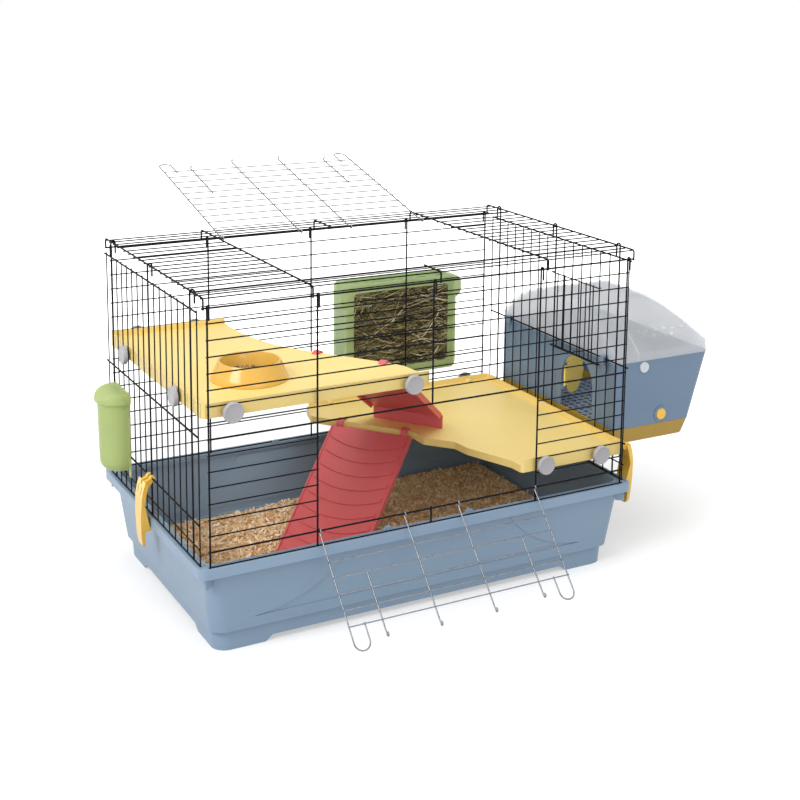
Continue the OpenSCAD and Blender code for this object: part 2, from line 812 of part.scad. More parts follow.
module ramp_frame(a, b, z, slope) {
  m = (a + b) / 2;
  az = atan2(b[1] - a[1], b[0] - a[0]) - 90;
  translate([m[0], m[1], z - strip / 2])
    rotate(az)
      translate([-strip_w / 2, 0, 0])
        rotate([0, slope, 0])
          children();
}

// w0 and w1: width at the top and at the foot; drop: height of the axis above the landing
module ramp(w0, w1, run, drop, foot, slope) {
  start = ring_in + 1;
  l = (run - ramp_top * sin(slope)) / cos(slope);
  skirt = drop - l * sin(slope) + ramp_top * cos(slope) - clear;
  translate([0, 0, ramp_top - ramp_t])
    linear_extrude(ramp_t)
      polygon([[start, -w0 / 2], [l, -w1 / 2], [l, w1 / 2], [start, w0 / 2]]);
  for (s = [-1, 1]) {
    translate([0, 0, ramp_top - 9])
      linear_extrude(11)
        polygon([
          [start, s * w0 / 2], [l - 10, s * w1 / 2], [l - 10, s * (w1 / 2 - 3)], [start, s * (w0 / 2 - 3)]
        ]);
    translate([0, s * (w0 - 30) / 2 - ring_w / 2, 0])
      rotate([-90, 0, 0])
        rotate(-200)
          rotate_extrude(angle = 200, $fn = round_fn)
            translate([ring_in, 0]) square([ring_r - ring_in, ring_w]);
  }
  translate([l, 0, ramp_top])
    rotate([0, -slope, 0])
      translate([-ramp_t, -w1 / 2 + 1, -skirt]) cube([ramp_t, w1 - 2, skirt - 0.5]);
  for (i = [1 : floor((l - 30) / tread_pitch)])
    translate([start + 12 + i * tread_pitch - tread_r, 0, ramp_top - 0.5])
      linear_extrude(2.5)
        intersection() {
          difference() {
            circle(r = tread_r, $fn = 2 * round_fn);
            translate([-6, 0]) circle(r = tread_r - 2, $fn = 2 * round_fn);
          }
          translate([0, -w1 / 2 + 8]) square([2 * tread_r, w1 - 16]);
        }
}

tread_pitch = 29;
tread_r = 160;
upper_foot = 22;
lower_foot = 8;
upper_drop = upper_z - strip / 2 - lower_z;
lower_drop = lower_z - strip / 2 - foot_h - tub_wall;
upper_slope = atan((upper_drop + ramp_top - upper_foot) / upper_run);
lower_slope = atan((lower_drop + ramp_top - lower_foot) / lower_run);

module upper_ramp() {
  color([0.77, 0.27, 0.29])
    ramp_frame(upper_edge_a, upper_edge_b, upper_z, upper_slope)
      ramp(upper_ramp_w, upper_ramp_w - 14, upper_run, upper_drop, upper_foot, upper_slope);
}

module lower_ramp() {
  color([0.77, 0.27, 0.29])
    ramp_frame(lower_edge_a, lower_edge_b, lower_z, lower_slope)
      ramp(lower_ramp_w, lower_ramp_w, lower_run, lower_drop, lower_foot, lower_slope);
}

// The bowl stands this far in from the left and the front edge of the upper shelf
bowl_in = [126, 124];

module food_bowl() {
  color([0.91, 0.72, 0.3])
    translate([-shelf_x + bowl_in[0], -shelf_y + bowl_in[1], upper_z + clear])
      rotate_extrude($fn = round_fn)
        polygon([
          [0, 0], [bowl_foot_d / 2, 0], [bowl_foot_d / 2, 3], [bowl_rim_d / 2, bowl_h],
          [bowl_rim_d / 2 - 3, bowl_h], [bowl_rim_d / 2 - 8, 6], [bowl_rim_d / 2 - 14, 4], [0, 4]
        ]);
}

module latch_at(side, y) {
  color([0.95, 0.8, 0.4])
    translate([side * (half_l + lap), y, latch_z])
      rotate(side > 0 ? 180 : 0)
        latch_body();
}

finger_y = 7;
finger_w = 8;
finger_gap = 2 * finger_y - finger_w;

// The latches at the right end stand beside the outer hooked uprights
end_latch_y = (upright_half - 1) * upright_pitch + post_d / 2 + eye_gap + finger_y + finger_w / 2;

// Body of a latch: two hook fingers round the wire, a bowed handle and a tooth under the rim
module latch_body() {
  out = tub_l / 2 - (half_l + lap);
  drop = latch_z - rim_z;
  ring_o = post_d / 2 + eye_gap + 3;
  for (s = [-1, 1])
    translate([0, s * finger_y, 0])
      rotate([90, 0, 0])
        linear_extrude(finger_w, center = true)
          difference() {
            union() {
              circle(r = ring_o, $fn = round_fn);
              polygon([[-ring_o, 0], [-14, -4], [-14, -14], [-ring_o - 2, -14], [0, -ring_o]]);
            }
            circle(d = post_d + 2 * eye_gap, $fn = round_fn);
            translate([0, -ring_o - 1]) square([ring_o + 1, ring_o + 1]);
          }
  intersection() {
    rotate([90, 0, 0])
      linear_extrude(latch_w, center = true)
        polygon([
          [-8, -8], [-14, -2], [-18, -14], [-21, -30], [-22.5, -60], [-21.5, -drop - 30], [-19, -drop - 46], [-16, -drop - 51],
          [-14, -drop - 49], [-15, -drop - rim_drop - 8], [-out + 1.2, -drop - rim_drop - 4],
          [-out + 1.2, -drop - rim_drop - clear], [-out - 1, -drop - rim_drop - clear],
          [-out - 3, -drop - 8], [-16, -40], [-12, -20]
        ]);
    rotate([90, 0, -90])
      linear_extrude(60, center = true)
        difference() {
          polygon(rounded([
            [-latch_w / 2, 3, 3], [-latch_w / 2, -34, 20], [-latch_foot / 2, -drop - 51, latch_foot / 2 - 0.1],
            [latch_foot / 2, -drop - 51, latch_foot / 2 - 0.1], [latch_w / 2, -34, 20], [latch_w / 2, 3, 3]
          ]));
          for (s = [-1, 1])
            translate([s * finger_y * 1.05, -18]) {
              square([3, 12], center = true);
              for (e = [-1, 1]) translate([0, e * 6]) circle(d = 3, $fn = wire_fn);
            }
          square([finger_gap, 18], center = true);
        }
  }
}

// Feeder: half round outside, flat against the wires
feeder_y = 132;
feeder_x = -half_l - lap - post_d / 2 - clear;
feeder_z = 190;
feeder_r = feeder_w / 2;
feeder_wall = 2;
feeder_draft = 3;

// Half of the body's upright section, grown inward by t; it is closed at the top at height h
function feeder_side(t, h) = rounded([
  [0, t, 0], [feeder_r - feeder_draft - t, t, 22 - t], [feeder_r - t, h, 0], [0, h, 0]
]);

module feeder_form(t, h, flat) {
  translate([-flat, 0, 0])
    rotate(90)
      rotate_extrude(angle = 180, $fn = round_fn)
        polygon(feeder_side(t, h));
  translate([-flat, 0, 0])
    rotate([90, 0, 90])
      linear_extrude(flat)
        union() {
          polygon(feeder_side(t, h));
          mirror([1, 0]) polygon(feeder_side(t, h));
        }
}

module feeder_body() {
  color([0.69, 0.77, 0.5, 0.7])
    translate([feeder_x, feeder_y, feeder_z]) {
      difference() {
        feeder_form(0, feeder_h, feeder_t - feeder_r);
        difference() {
          feeder_form(feeder_wall, feeder_h + 1, feeder_t - feeder_r);
          translate([-feeder_wall, -feeder_w, -1]) cube([2 * feeder_wall, 2 * feeder_w, feeder_h + 3]);
        }
      }
      translate([-feeder_wall, -feeder_r, -6]) cube([feeder_wall, 8, 34]);
    }
}

// Hood over the feeder, its roof curving down to the outer lip
lid_lip = 5;
hood_h = 17;
hood_z = feeder_z + feeder_h + clear;
bead_d = 4.4;
bead_in = 2.5;

module hood_form(t) {
  depth = feeder_t + lid_lip;
  intersection() {
    rotate([90, 0, 0])
      linear_extrude(2 * (feeder_r + lid_lip), center = true)
        polygon(concat(
          [[-t, t > 0 ? -1 : 0], [-t, hood_h - t]],
          curve([-t, hood_h - t], [-depth * 0.75, hood_h + 2 - t], [-depth + t, 3], 10),
          [[-depth + t, 3], [-depth + t, t > 0 ? -1 : 0]]
        ));
    union() {
      translate([-(feeder_t - feeder_r), 0, -2])
        rotate(90)
          rotate_extrude(angle = 180, $fn = round_fn)
            square([feeder_r + lid_lip - t, hood_h + 6]);
      translate([-(feeder_t - feeder_r), -feeder_r - lid_lip + t, -2])
        cube([feeder_t - feeder_r, 2 * (feeder_r + lid_lip - t), hood_h + 6]);
    }
  }
}

module feeder_lid() {
  color([0.72, 0.8, 0.52, 0.7])
    translate([feeder_x, feeder_y, hood_z])
      difference() {
        union() {
          hood_form(0);
          translate([-bead_in, 0, hood_h - 1])
            rotate([90, 0, 0])
              cylinder(h = feeder_w - 8, d = bead_d, center = true, $fn = round_fn);
        }
        hood_form(feeder_wall);
      }
}

// Hay rack: a basket outside the back panel with a window towards the cage
rack_x = 196;
rack_z = 246;
rack_wall = 3;
rack_frame = 17;
rack_ear = 12;
rack_ear_h = 48;
rack_r = 12;

module rack_outline(grow) {
  translate([0, rack_h / 2]) round_box(rack_w + 2 * grow, rack_h + 2 * grow, rack_r + grow);
}

module hay_rack() {
  y0 = half_w + wire_d / 2 + clear;
  color([0.56, 0.75, 0.45, 0.7])
    translate([rack_x, y0 + rack_t, rack_z])
      rotate([90, 0, 0])
        difference() {
          union() {
            linear_extrude(rack_t) rack_outline(0);
            translate([0, rack_h - rack_ear_h / 2, rack_t - 22])
              linear_extrude(22) round_box(rack_w + 2 * rack_ear, rack_ear_h, 20);
          }
          translate([0, 0, rack_wall])
            linear_extrude(rack_t - 2 * rack_wall) rack_outline(-rack_wall);
          translate([0, rack_h - 10, rack_wall + 4])
            rotate([-90, 0, 0])
              linear_extrude(30)
                translate([0, -(rack_t - 2 * rack_wall) / 2 + 4])
                  round_box(rack_w - 2 * rack_frame, rack_t - 2 * rack_wall - 8, 6);
          translate([0, rack_h / 2, rack_t - rack_wall - 1])
            linear_extrude(rack_wall + 2)
              round_box(rack_w - 2 * rack_frame, rack_h - 2 * rack_frame, 8);
        }
}

// Nest box
nest_x = tub_l / 2;
nest_end = nest_x + nest_l;
button_x = 104;
button_z = 245;
button_d = 20;
lid_split = nest_x + 50;

nest_corner = 16;
button_boss_d = 30;
button_boss_t = 1.5;

// Plan of the nest box at one height, its far corners rounded
module nest_plan(x_end, in) {
  y = nest_w / 2 - in;
  start = nest_x + max(in, 0);
  polygon(rounded([
    [start, -y, 0], [x_end - in, -y, nest_corner - in], [x_end - in, y, nest_corner - in], [start, y, 0]
  ]));
}

// Box between two heights, its far end leaning out from x0 to x1
module nest_block(z0, x0, z1, x1, in) {
  hull() {
    translate([0, 0, z0]) linear_extrude(0.01) nest_plan(x0, in);
    translate([0, 0, z1 - 0.01]) linear_extrude(0.01) nest_plan(x1, in);
  }
}

hook_y = 5.6 * upright_pitch;
hook_w = 12;
hang_z = end_rows[1] + post_d / 2 + clear;

// Hooks with which the nest box hangs on the thick wire of the end panel
module nest_hooks() {
  wire_x = half_l + lap;
  tip = wire_x - post_d / 2 - clear;
  arm = wire_x + post_d / 2 + clear;
  for (s = [-1, 1])
    translate([0, s * hook_y, 0])
      rotate([90, 0, 0])
        linear_extrude(hook_w, center = true)
          polygon([
            [nest_x + 1, lid_z - 20], [nest_x + 1, lid_z - 6], [nest_x - clear, lid_z - 6],
            [nest_x - clear, hang_z + 3], [tip - 3, hang_z + 3], [tip - 3, hang_z - 12],
            [tip, hang_z - 12], [tip, hang_z], [arm, hang_z], [arm, lid_z - 20]
          ]);
}

module nest_body() {
  color([0.53, 0.63, 0.73]) {
    nest_hooks();
    flap_ears();
    difference() {
      union() {
        nest_block(tray_z + clear, nest_end - nest_taper, lid_z, nest_end, 0);
        translate([nest_x + button_x, 0, button_z])
          rotate([90, 0, 0])
            cylinder(h = nest_w + 2 * button_boss_t, d = button_boss_d, center = true, $fn = round_fn);
      }
      nest_block(tray_z - 2, nest_end - nest_taper, lid_z + 2, nest_end, nest_wall);
      translate([nest_x + button_x, 0, button_z])
        rotate([90, 0, 0])
          cylinder(h = nest_w + 8, d = button_d + 2 * eye_gap, center = true, $fn = round_fn);
      translate([nest_x - 1, arch_y, lid_z - 14 - arch_half])
        rotate([0, 90, 0])
          cylinder(h = 10, r = arch_half, $fn = round_fn);
      translate([nest_x - 1, arch_y - arch_half, tray_z - 1])
        cube([10, 2 * arch_half, lid_z - 13 - arch_half - tray_z]);
    }
  }
}

// The dome is a round vault over the box, its foot this far above the join with the body
lid_side = 14.9;
lid_sag = ridge_z - lid_z - lid_side;
lid_r = (nest_w * nest_w / 4 + lid_sag * lid_sag) / (2 * lid_sag);

module lid_shell(x0, x1, in) {
  intersection() {
    translate([x0, 0, ridge_z - lid_r])
      rotate([0, 90, 0])
        cylinder(h = x1 - x0, r = lid_r - in, $fn = 2 * round_fn);
    rotate([90, 0, 0])
      linear_extrude(nest_w + 10, center = true)
        polygon(rounded([
          [nest_x - 5, lid_z - 20, 0], [nest_end + 4 - in, lid_z - 20, 0], [nest_end + 4 - in, lid_z + 12, 10],
          [nest_end - 60 - in, ridge_z - in, 60], [nest_x - 5, ridge_z - in, 0]
        ]));
    translate([0, 0, lid_z + clear]) linear_extrude(200) nest_plan(nest_end, in);
  }
}

lip_h = 4;
lip_out = 2;
vent_d = 5;
vent_rows = [[36.5, 21, 6], [39.5, 31, 4]];

// Lip round the lower edge of the lid, outside the box
module lid_lip(x0, x1) {
  translate([0, 0, lid_z + clear])
    linear_extrude(lip_h)
      intersection() {
        difference() {
          nest_plan(nest_end, -lip_out);
          nest_plan(nest_end, nest_wall);
        }
        translate([x0, -nest_w]) square([x1 - x0, 2 * nest_w]);
      }
}

// Rows of air holes on both flanks of the dome; each row: angle from upright, first place, count
module lid_vents() {
  for (row = vent_rows, s = [-1, 1], i = [0 : row[2] - 1])
    translate([lid_split + row[1] + i * 20, 0, ridge_z - lid_r])
      rotate([s * row[0], 0, 0])
        translate([0, 0, lid_r - 16]) cylinder(h = 30, d = vent_d, $fn = wire_fn);
}

module nest_collar() {
  color([0.86, 0.87, 0.88, 0.6]) {
    lid_lip(nest_x, lid_split - clear);
    difference() {
      lid_shell(nest_x, lid_split - clear, 0);
      translate([nest_wall, 0, -1]) lid_shell(nest_x, lid_split + 10, nest_wall);
    }
  }
}

module nest_lid() {
  color([0.86, 0.87, 0.88, 0.6]) {
    lid_lip(lid_split, nest_end + 10);
    difference() {
      lid_shell(lid_split, nest_end + 10, 0);
      translate([0, 0, -1]) lid_shell(lid_split - 10, nest_end + 20, nest_wall);
      lid_vents();
    }
  }
}

sieve_x = nest_x + nest_wall + 4;
sieve_y = nest_w / 2 - 8;
sieve_z = tray_z - 10;
sieve_edge = 8;
sieve_l = 150;

tray_lean = 14;

// Studs on the tray's floor that the grid lies on
module sieve_studs() {
  for (x = [sieve_x + sieve_edge / 2, sieve_x + sieve_l - sieve_edge / 2], y = [-1, 0, 1]) {
    z = nest_z + nest_wall / 2;
    translate([x, y * (sieve_y - sieve_edge / 2), z])
      cylinder(h = sieve_z - clear - z, d = 6, $fn = round_fn);
  }
}

module nest_tray() {
  color([0.8, 0.65, 0.27]) {
    sieve_studs();
    difference() {
      nest_block(nest_z, nest_end - nest_taper - tray_lean, tray_z, nest_end - nest_taper, 0);
      nest_block(nest_z + nest_wall, nest_end - nest_taper - tray_lean, tray_z + 1, nest_end - nest_taper, nest_wall);
    }
  }
}

module nest_sieve() {
  color([0.5, 0.55, 0.6])
    translate([sieve_x, -sieve_y, sieve_z])
      difference() {
        cube([sieve_l, 2 * sieve_y, 2]);
        for (i = [0 : 8], j = [0 : 21])
          translate([sieve_edge + i * 15.5, sieve_edge + j * 16, -1]) cube([10, 10, 4]);
      }
}

flap_x = nest_x + nest_wall + 5.5;
flap_y = arch_y + arch_half;
flap_z = 284.5;
flap_pin_d = 4;
flap_turn = 32;
ear_h = 6;
ear_z = 20;

module nest_flap() {
  color([0.95, 0.75, 0.2])
    translate([flap_x, flap_y, flap_z])
      rotate(flap_turn) {
        translate([flap_d / 2 + 1, 0, 0])
          rotate([90, 0, 0])
            difference() {
              cylinder(h = 3, d = flap_d, center = true, $fn = 2 * round_fn);
              for (z = [-1, 1])
                translate([flap_d * 0.3, z * 9, 0]) cylinder(h = 5, d = 6, center = true, $fn = wire_fn);
              translate([flap_d / 2, 0, 0]) cylinder(h = 5, d = 12, center = true, $fn = wire_fn);
            }
        cylinder(h = 2 * (ear_z + ear_h), d = flap_pin_d, center = true, $fn = round_fn);
        translate([0, -1.5, -ear_z + clear]) cube([10, 3, 2 * (ear_z - clear)]);
      }
}

// Ears inside the nest box that carry the door's pin
module flap_ears() {
  for (s = [-1, 1])
    translate([flap_x, flap_y, flap_z + s * (ear_z + ear_h / 2)])
      difference() {
        union() {
          cylinder(h = ear_h, d = 9, center = true, $fn = round_fn);
          translate([-(flap_x - nest_x - 1) / 2, 0, 0])
            cube([flap_x - nest_x - 1, 9, ear_h], center = true);
        }
        cylinder(h = ear_h + 2, d = flap_pin_d + 2 * eye_gap, center = true, $fn = round_fn);
      }
}

module nest_pins() {
  color([0.9, 0.9, 0.9])
    for (s = [-1, 1])
      translate([nest_x + 62, s * (nest_w / 2), lid_z - 12])
        rotate([-s * 90, 0, 0])
          cylinder(h = 3, d = 19, $fn = round_fn);
}

module nest_button(s) {
  color([0.9, 0.75, 0.2])
    translate([nest_x + button_x, s * (nest_w / 2 - nest_wall - 1), button_z])
      rotate([-s * 90, 0, 0])
        cylinder(h = nest_wall + 4, d = button_d, $fn = round_fn);
}

tub();
bedding();
front_panel();
back_panel();
left_panel();
right_panel();
top_panel();
front_door();
top_door();
side_door();
upper_shelf();
lower_shelf();
upper_ramp();
lower_ramp();
food_bowl();
front_knob(upper_knobs_front[0], upper_pin_z);  // upper_front_knob_1
front_knob(upper_knobs_front[1], upper_pin_z);  // upper_front_knob_2
back_knob(upper_knobs_back[0], upper_pin_z);  // upper_back_knob_1
back_knob(upper_knobs_back[1], upper_pin_z);  // upper_back_knob_2
left_knob(side_knobs[0], upper_pin_z);  // upper_left_knob_1
left_knob(side_knobs[1], upper_pin_z);  // upper_left_knob_2
front_knob(lower_knobs_front[0], lower_pin_z);  // lower_front_knob_1
front_knob(lower_knobs_front[1], lower_pin_z);  // lower_front_knob_2
back_knob(lower_knobs_back[0], lower_pin_z);  // lower_back_knob_1
back_knob(lower_knobs_back[1], lower_pin_z);  // lower_back_knob_2
latch_at(-1, 0);  // left_latch
latch_at(1, -end_latch_y);  // right_front_latch
latch_at(1, end_latch_y);  // right_back_latch
feeder_body();
feeder_lid();
hay_rack();
nest_body();
nest_collar();
nest_lid();
nest_tray();
nest_sieve();
nest_flap();
nest_pins();
nest_button(-1);  // nest_button_front
nest_button(1);  // nest_button_back
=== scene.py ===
# %% [markdown]
# The object is a two-storey wire cage on a moulded tub, with two shelves, two ramps, three wire doors and
# a nest box hung on its right end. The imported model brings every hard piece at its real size, already
# seated on its neighbours. This script gives each piece its finish, adds what lies loose in the cage
# (wood shavings, hay, seeds), and sets the camera, the floor and the lights. All lengths are in metres.

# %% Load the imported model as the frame
import math
import random

import bpy
from mathutils import Matrix, Vector
from mathutils.bvhtree import BVHTree


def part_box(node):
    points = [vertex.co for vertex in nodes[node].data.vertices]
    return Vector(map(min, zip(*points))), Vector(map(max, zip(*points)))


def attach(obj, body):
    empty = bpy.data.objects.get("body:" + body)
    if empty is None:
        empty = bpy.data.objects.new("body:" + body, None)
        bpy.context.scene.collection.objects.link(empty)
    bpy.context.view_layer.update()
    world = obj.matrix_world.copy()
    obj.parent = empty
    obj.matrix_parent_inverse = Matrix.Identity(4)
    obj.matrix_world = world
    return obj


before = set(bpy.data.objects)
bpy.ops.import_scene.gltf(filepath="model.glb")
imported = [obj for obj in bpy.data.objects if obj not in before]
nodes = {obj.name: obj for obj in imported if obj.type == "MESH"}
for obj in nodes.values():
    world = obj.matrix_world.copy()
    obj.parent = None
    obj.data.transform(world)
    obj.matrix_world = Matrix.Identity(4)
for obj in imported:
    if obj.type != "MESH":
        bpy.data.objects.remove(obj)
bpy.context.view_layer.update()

# %% [markdown]
# The photograph was taken from the front left, a little above the roof, and its posts stay nearly
# parallel. A camera that looks down steeply would make them lean. So this one looks down by only ten
# degrees, and the frame is moved down and sideways on the sensor instead, as with a shifted lens. The
# numbers come from fitting corners of the model to the same corners in the photograph.

# %% Camera
image_size = 800
sensor_mm = 36
lens_px = 1433.8
centre_px = (430, 200)
eye = Vector((-1.0897, -2.1618, 1.0760))
heading = math.radians(29.27)
look_down = math.radians(10.02)
roll = math.radians(0.755)

camera_data = bpy.data.cameras.new("camera")
camera_data.sensor_width = sensor_mm
camera_data.lens = lens_px * sensor_mm / image_size
camera_data.shift_x = (image_size / 2 - centre_px[0]) / image_size
camera_data.shift_y = (centre_px[1] - image_size / 2) / image_size
camera = bpy.data.objects.new("camera", camera_data)
camera.location = eye
turned = Matrix.Rotation(-heading, 3, "Z") @ Matrix.Rotation(math.pi / 2 - look_down, 3, "X")
camera.rotation_euler = (turned @ Matrix.Rotation(roll, 3, "Z")).to_euler()
bpy.context.scene.collection.objects.link(camera)
bpy.context.scene.camera = camera
print("camera", tuple(round(c, 3) for c in eye), "lens", round(camera_data.lens, 1))

# %% [markdown]
# Every finish is a small node tree. Writing it node by node hides the idea, so a value in the tree is
# wrapped in a class whose operators add the Math node that does the sum: `cloud * 0.2 + 0.4` reads as
# what it does.

# %% A value in a node tree
class Value:
    """One number, colour or shader at each point of a surface, on its way through a node tree."""

    def __init__(self, tree, socket):
        self.tree = tree
        self.socket = socket

    def math(self, operation, other):
        return self.tree.node("ShaderNodeMath", {"operation": operation}, {0: self, 1: other})

    def __add__(self, other):
        return self.math("ADD", other)

    def __mul__(self, other):
        return self.math("MULTIPLY", other)

    __radd__ = __add__
    __rmul__ = __mul__

    def around(self, middle, spread):
        """Noise from 0 to 1, laid evenly about a middle value."""
        return self * spread + (middle - spread / 2)

    def above(self, low, high):
        """0 below low, 1 above high, and a straight run between."""
        return self.tree.node(
            "ShaderNodeMapRange", {"clamp": True},
            {"Value": self, "From Min": low, "From Max": high})


print("values ready: plus and times add Math nodes")

# %% [markdown]
# All other nodes come from one method. Its settings go first, because a setting such as the kind of a Mix
# decides which sockets the node has; then come the numbers and links of its sockets. The material of a
# piece and the sky round it are both such trees.

# %% A node tree
class Tree:
    """A node tree, with the one way in which this script adds nodes to it."""

    def __init__(self, tree):
        self.tree = tree

    def node(self, kind, settings, sockets, out=0):
        made = self.tree.nodes.new(kind)
        for name, value in settings.items():
            if name == "stops":
                self.set_stops(made.color_ramp, value)
            else:
                setattr(made, name, value)
        for socket, value in sockets.items():
            self.feed(made.inputs[socket], value)
        return Value(self, made.outputs[out])

    def set_stops(self, ramp, stops):
        while len(ramp.elements) < len(stops):
            ramp.elements.new(1)
        for element, (place, colour) in zip(ramp.elements, stops):
            element.position = place
            element.color = (*colour, 1)

    def feed(self, socket, value):
        if isinstance(value, Value):
            self.tree.links.new(value.socket, socket)
        else:
            socket.default_value = value


print("trees ready: one method adds every node")

# %% [markdown]
# A finish is a tree around one Principled shader. Real surfaces differ from place to place, and nearly
# all of that comes from soft noise: in the colour, in the gloss and as fine relief. The noise is read at
# the object's own coordinates, so that it stays on the piece when the piece moves.

# %% A finish
mix_low, mix_high, mix_result = 6, 7, 2


class Finish(Tree):
    """A material around one Principled shader; constants go straight onto the shader's sockets."""

    def __init__(self, name, **sockets):
        self.material = bpy.data.materials.new(name)
        self.material.use_nodes = True
        super().__init__(self.material.node_tree)
        self.shader = self.tree.nodes["Principled BSDF"]
        self.output = self.tree.nodes["Material Output"]
        self.skin = Value(self, self.shader.outputs["BSDF"])
        for socket, value in sockets.items():
            self.shader.inputs[socket.replace("_", " ")].default_value = value

    def place(self):
        return self.node("ShaderNodeTexCoord", {}, {}, "Object")

    def cloud(self, scale, detail, stretch=(1, 1, 1)):
        """Soft noise with about this many waves per metre."""
        at = self.node(
            "ShaderNodeVectorMath", {"operation": "MULTIPLY"}, {0: self.place(), 1: stretch})
        return self.node("ShaderNodeTexNoise", {}, {"Vector": at, "Scale": scale, "Detail": detail})

    def tint(self, share, low, high):
        """A colour between two, by a value."""
        return self.node(
            "ShaderNodeMix", {"data_type": "RGBA"},
            {0: share, mix_low: (*low, 1), mix_high: (*high, 1)}, mix_result)

    def colour(self, value):
        self.feed(self.shader.inputs["Base Color"], value)

    def rough(self, value):
        self.feed(self.shader.inputs["Roughness"], value)

    def bump(self, height, depth, strength):
        self.feed(self.shader.inputs["Normal"], self.node(
            "ShaderNodeBump", {}, {"Height": height, "Distance": depth, "Strength": strength}))

    def surface(self, value):
        self.feed(self.output.inputs["Surface"], value)


print("finishes ready: colour, rough, bump and surface feed the shader")

# %% [markdown]
# Colours are easiest to name as they look on a screen, but a shader works with amounts of light. The step
# between the two is the screen's own curve. Once a colour is an amount of light, a darker one is a plain
# share of it.

# %% Colours
def srgb(code):
    """A colour picked as on a screen, such as "8197AD", as the linear numbers a shader wants."""
    parts = [int(code[i:i + 2], 16) / 255 for i in (0, 2, 4)]
    return tuple(c / 12.92 if c <= 0.04045 else ((c + 0.055) / 1.055) ** 2.4 for c in parts)


def scaled(colour, share):
    return tuple(c * share for c in colour)


print("a mid grey is", [round(c, 3) for c in srgb("808080")])

# %% [markdown]
# Injection-moulded plastic is nearly one colour, but never quite: it has faint flow marks some
# centimetres across, a fine spark-eroded grain on its faces, and small differences in gloss where it has
# been handled. A scanned texture could hold these, but noise needs no picture and fits every piece. The
# same three layers serve all moulded pieces, with their own colour and gloss.

# %% Moulded plastic
flow_scale, speck_scale, handled_scale, grain_scale = 9, 260, 22, 1400
flow_depth = 0.08
grain_depth = 0.00006


def moulded(name, code, roughness, **sockets):
    finish = Finish(name, **sockets)
    base = srgb(code)
    flow_marks = finish.cloud(flow_scale, detail=2, stretch=(1, 1, 2.5))
    specks = finish.cloud(speck_scale, detail=2)
    share = flow_marks * 0.7 + specks * 0.3
    finish.colour(finish.tint(share, scaled(base, 1 - flow_depth), scaled(base, 1 + flow_depth)))
    handled = finish.cloud(handled_scale, detail=3)
    finish.rough(handled.around(roughness, 0.16))
    finish.bump(finish.cloud(grain_scale, detail=2), depth=grain_depth, strength=0.6)
    return finish.material


tub_blue = moulded("tub_blue", "879EB5", 0.38)
print("first moulded finish", tub_blue.name, "with", len(tub_blue.node_tree.nodes), "nodes")

# %% [markdown]
# The maker moulds the pieces in a few plain colours: blue-grey for the tub and the nest box, pale yellow
# for the shelves, red for the ramps and strong yellow for what the hand grips. The small gripped pieces
# come from polished moulds, so they get a thin clear coat of gloss. The nest's flap gets a brighter yellow
# than its own: painted light, standing in for the light that reaches it through the frosted lid.

# %% The moulded colours
shelf_yellow = moulded("shelf_yellow", "EBD080", 0.40)
ramp_red = moulded("ramp_red", "D05E62", 0.40)
bowl_amber = moulded("bowl_amber", "DEB04E", 0.25, Coat_Weight=0.3)
knob_grey = moulded("knob_grey", "A5A3A5", 0.45)
latch_yellow = moulded("latch_yellow", "EFC04B", 0.28, Coat_Weight=0.25)
nest_blue = moulded("nest_blue", "667D96", 0.36)
tray_ochre = moulded("tray_ochre", "A48328", 0.36)
sieve_grey = moulded("sieve_grey", "76879A", 0.4)
button_yellow = moulded("button_yellow", "EEBB33", 0.3, Coat_Weight=0.3)
# Painted light: the flap's yellow is brighter than the buttons' moulded yellow, for the light that comes
# through the lid.
flap_yellow_painted_light = moulded("flap_yellow_painted_light", "FFE070", 0.35)
pin_white = moulded("pin_white", "CDD3D8", 0.3)
print("finishes so far", len(bpy.data.materials))

# %% [markdown]
# The feeder, the hay rack and the nest box's lid are thin clear mouldings that have gone milky: light
# comes through, edges read darker. Solid glass would bend the light as a thick block does, which thin
# walls don't. A share of plain see-through in the shader avoids that, a share of translucent shader lets
# the wall glow with the light behind it, and a frosted surface keeps the highlights broad.

# %% Clear plastic
def clear_plastic(name, code, alpha, glow, roughness):
    finish = Finish(name, Coat_Weight=0.4, Coat_Roughness=0.15, IOR=1.45)
    base = srgb(code)
    milk = finish.cloud(scale=14, detail=2)
    finish.colour(finish.tint(milk, scaled(base, 0.92), scaled(base, 1.06)))
    finish.rough(finish.cloud(scale=60, detail=2).around(roughness, 0.1))
    finish.feed(finish.shader.inputs["Alpha"], milk.around(alpha, 0.12))
    finish.bump(finish.cloud(scale=500, detail=2), depth=0.00005, strength=0.5)
    behind = finish.node("ShaderNodeBsdfTranslucent", {}, {"Color": (*base, 1)})
    finish.surface(finish.node("ShaderNodeMixShader", {}, {0: glow, 1: finish.skin, 2: behind}))
    return finish.material


feeder_green = clear_plastic("feeder_green", "D8E4AC", alpha=0.64, glow=0.45, roughness=0.3)
rack_green = clear_plastic("rack_green", "CADDA8", alpha=0.74, glow=0.45, roughness=0.3)
lid_frost = clear_plastic("lid_frost", "EEF0F3", alpha=0.28, glow=0.4, roughness=0.35)
print("clear finishes", feeder_green.name, rack_green.name, lid_frost.name)

# %% [markdown]
# The frame is steel wire, welded and then powder coated in a near-black blue. The coat is thin and
# slightly uneven, with a dull sheen. A full gloss would put a white line along each wire under the
# studio's lights and make it fade into the background, so the reflection is held low and broad.

# %% Coated wire
def coated_wire():
    finish = Finish("coated_wire", Specular_IOR_Level=0.12)
    finish.colour(finish.tint(finish.cloud(scale=120, detail=3), srgb("07090F"), srgb("10131C")))
    finish.rough(finish.cloud(scale=400, detail=2).around(0.52, 0.2))
    finish.bump(finish.cloud(scale=700, detail=3), depth=0.00008, strength=0.6)
    return finish.material


wire_dark = coated_wire()
print("coated wire", wire_dark.name)

# %% [markdown]
# The front and top doors are the same wire, zinc plated and left bright. Zinc is a metal all through to
# the eye, so the shader is fully metallic. Its dull and bright patches go together, so one noise drives
# both the colour and the gloss.

